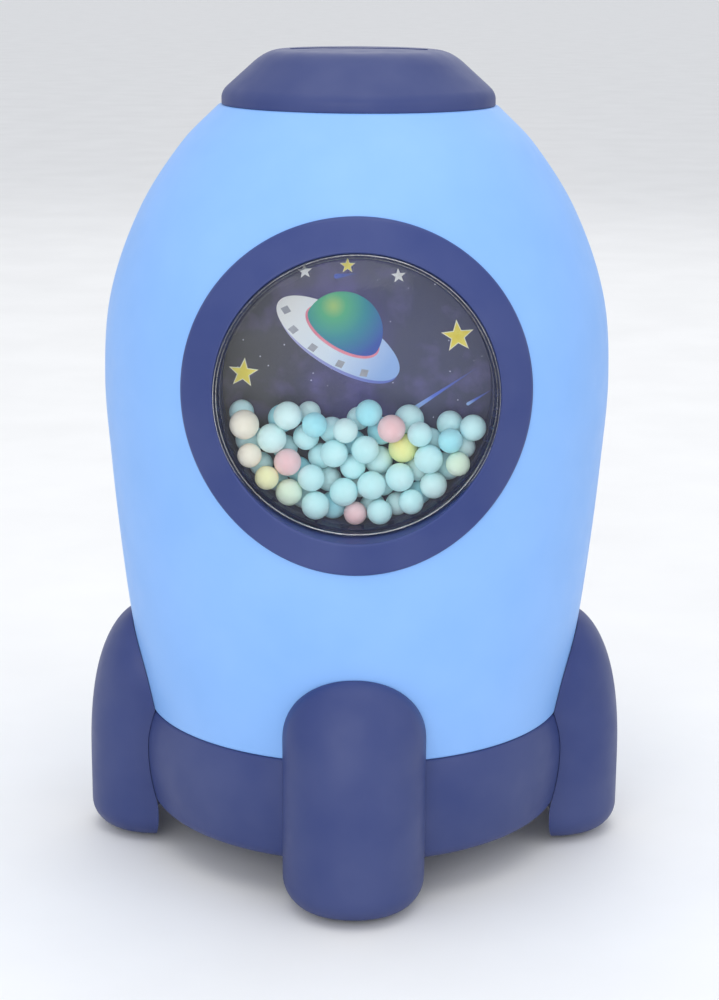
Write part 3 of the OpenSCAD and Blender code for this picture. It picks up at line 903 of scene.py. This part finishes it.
def apply_text(obj):
    """Turns a text object into a mesh in place."""
    bpy.context.view_layer.update()
    graph = bpy.context.evaluated_depsgraph_get()
    mesh = bpy.data.meshes.new_from_object(obj.evaluated_get(graph))
    mesh.transform(obj.matrix_world)
    name = obj.name
    bpy.data.objects.remove(obj)
    piece = bpy.data.objects.new(name, mesh)
    bpy.context.scene.collection.objects.link(piece)
    return piece


CAD_LOOKS = {
    "base_screws": STEEL, "booster_screws": STEEL, "porthole_screws": STEEL, "frame_screws": STEEL,
    "hinge_pin": STEEL, "lock_bridge": STEEL, "lock_screws": STEEL, "shaft_clip": STEEL,
    "foot_pads": RUBBER, "friction_washer": RUBBER, "porthole_tray": NAVY,
    "porthole_retainer": NAVY, "frame_retainer": NAVY, "door_frame": RING, "door_panel": BLUE,
    "index_mark": WHITE, "lock_dial": WHITE, "drive_disc": GREY, "disc_spacers": GREY,
    "tumbler_outer": GREY, "tumbler_inner": GREY,
}


def dress_cad_nodes():
    """Gives the CAD nodes that stay in view their materials, and rounds the edges of the largest."""
    for node, material in CAD_LOOKS.items():
        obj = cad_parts[node]
        obj.data.materials.clear()
        obj.data.materials.append(material)
    for node, width in (("door_panel", 0.3), ("lock_dial", 0.35), ("door_frame", 0.3)):
        soften(node, width)


# ---------------------------------------------------------------- camera, light and floor


def studio():
    """The camera at the photograph's angle, soft lights, a pale world and a pale floor."""
    scene = bpy.context.scene
    lens = bpy.data.cameras.new("camera")
    lens.sensor_width = 36
    lens.lens = 78.1
    lens.shift_x = 0.0036
    camera = bpy.data.objects.new("camera", lens)
    scene.collection.objects.link(camera)
    camera.matrix_world = (
        Matrix.Translation((0, -0.5467, 0.2263))
        @ Matrix.Rotation(math.radians(90 - 14.09), 4, "X")
        @ Matrix.Rotation(math.radians(0.38), 4, "Z")
    )
    scene.camera = camera

    for name, place, size, power in (
        ("key", (-0.3, -1.3, 0.5), 0.9, 5.5),
        ("fill", (0.9, -0.8, 0.5), 0.9, 1.5),
        ("back", (0.2, 1.0, 0.9), 1.0, 2),
        ("top", (0.0, -0.2, 1.2), 1.0, 4),
    ):
        light = bpy.data.lights.new(name, "AREA")
        light.size = size
        light.energy = power
        lamp = bpy.data.objects.new(name, light)
        lamp.location = place
        lamp.rotation_euler = (Vector((0, 0, 0.1)) - Vector(place)).to_track_quat("-Z", "Y").to_euler()
        scene.collection.objects.link(lamp)

    world = bpy.data.worlds.new("studio")
    world.use_nodes = True
    world.node_tree.nodes["Background"].inputs["Color"].default_value = (0.93, 0.95, 1.0, 1)
    world.node_tree.nodes["Background"].inputs["Strength"].default_value = 0.85
    scene.world = world
    scene.view_settings.view_transform = "Standard"

    reach = 20000
    corners = [(-reach, -reach, 0), (reach, -reach, 0), (reach, reach, 0), (-reach, reach, 0)]
    floor = make_mesh("floor", corners, [(0, 1, 2, 3)])
    look = Look("floor_paper")
    paper = look.ramp(look.noise(60, 4), [(0.3, (0.84, 0.84, 0.83)), (0.7, (0.88, 0.88, 0.87))])
    look.link(paper, look.shader.inputs["Base Color"])
    look.set(Roughness=0.7)
    floor.data.materials.append(look.material)


body_shell()
nose_cap()
base_cup()
boosters()
porthole_bezel()
porthole_lens()
foam_balls()
printed_scene()
dress_cad_nodes()
dial_digits()
studio()
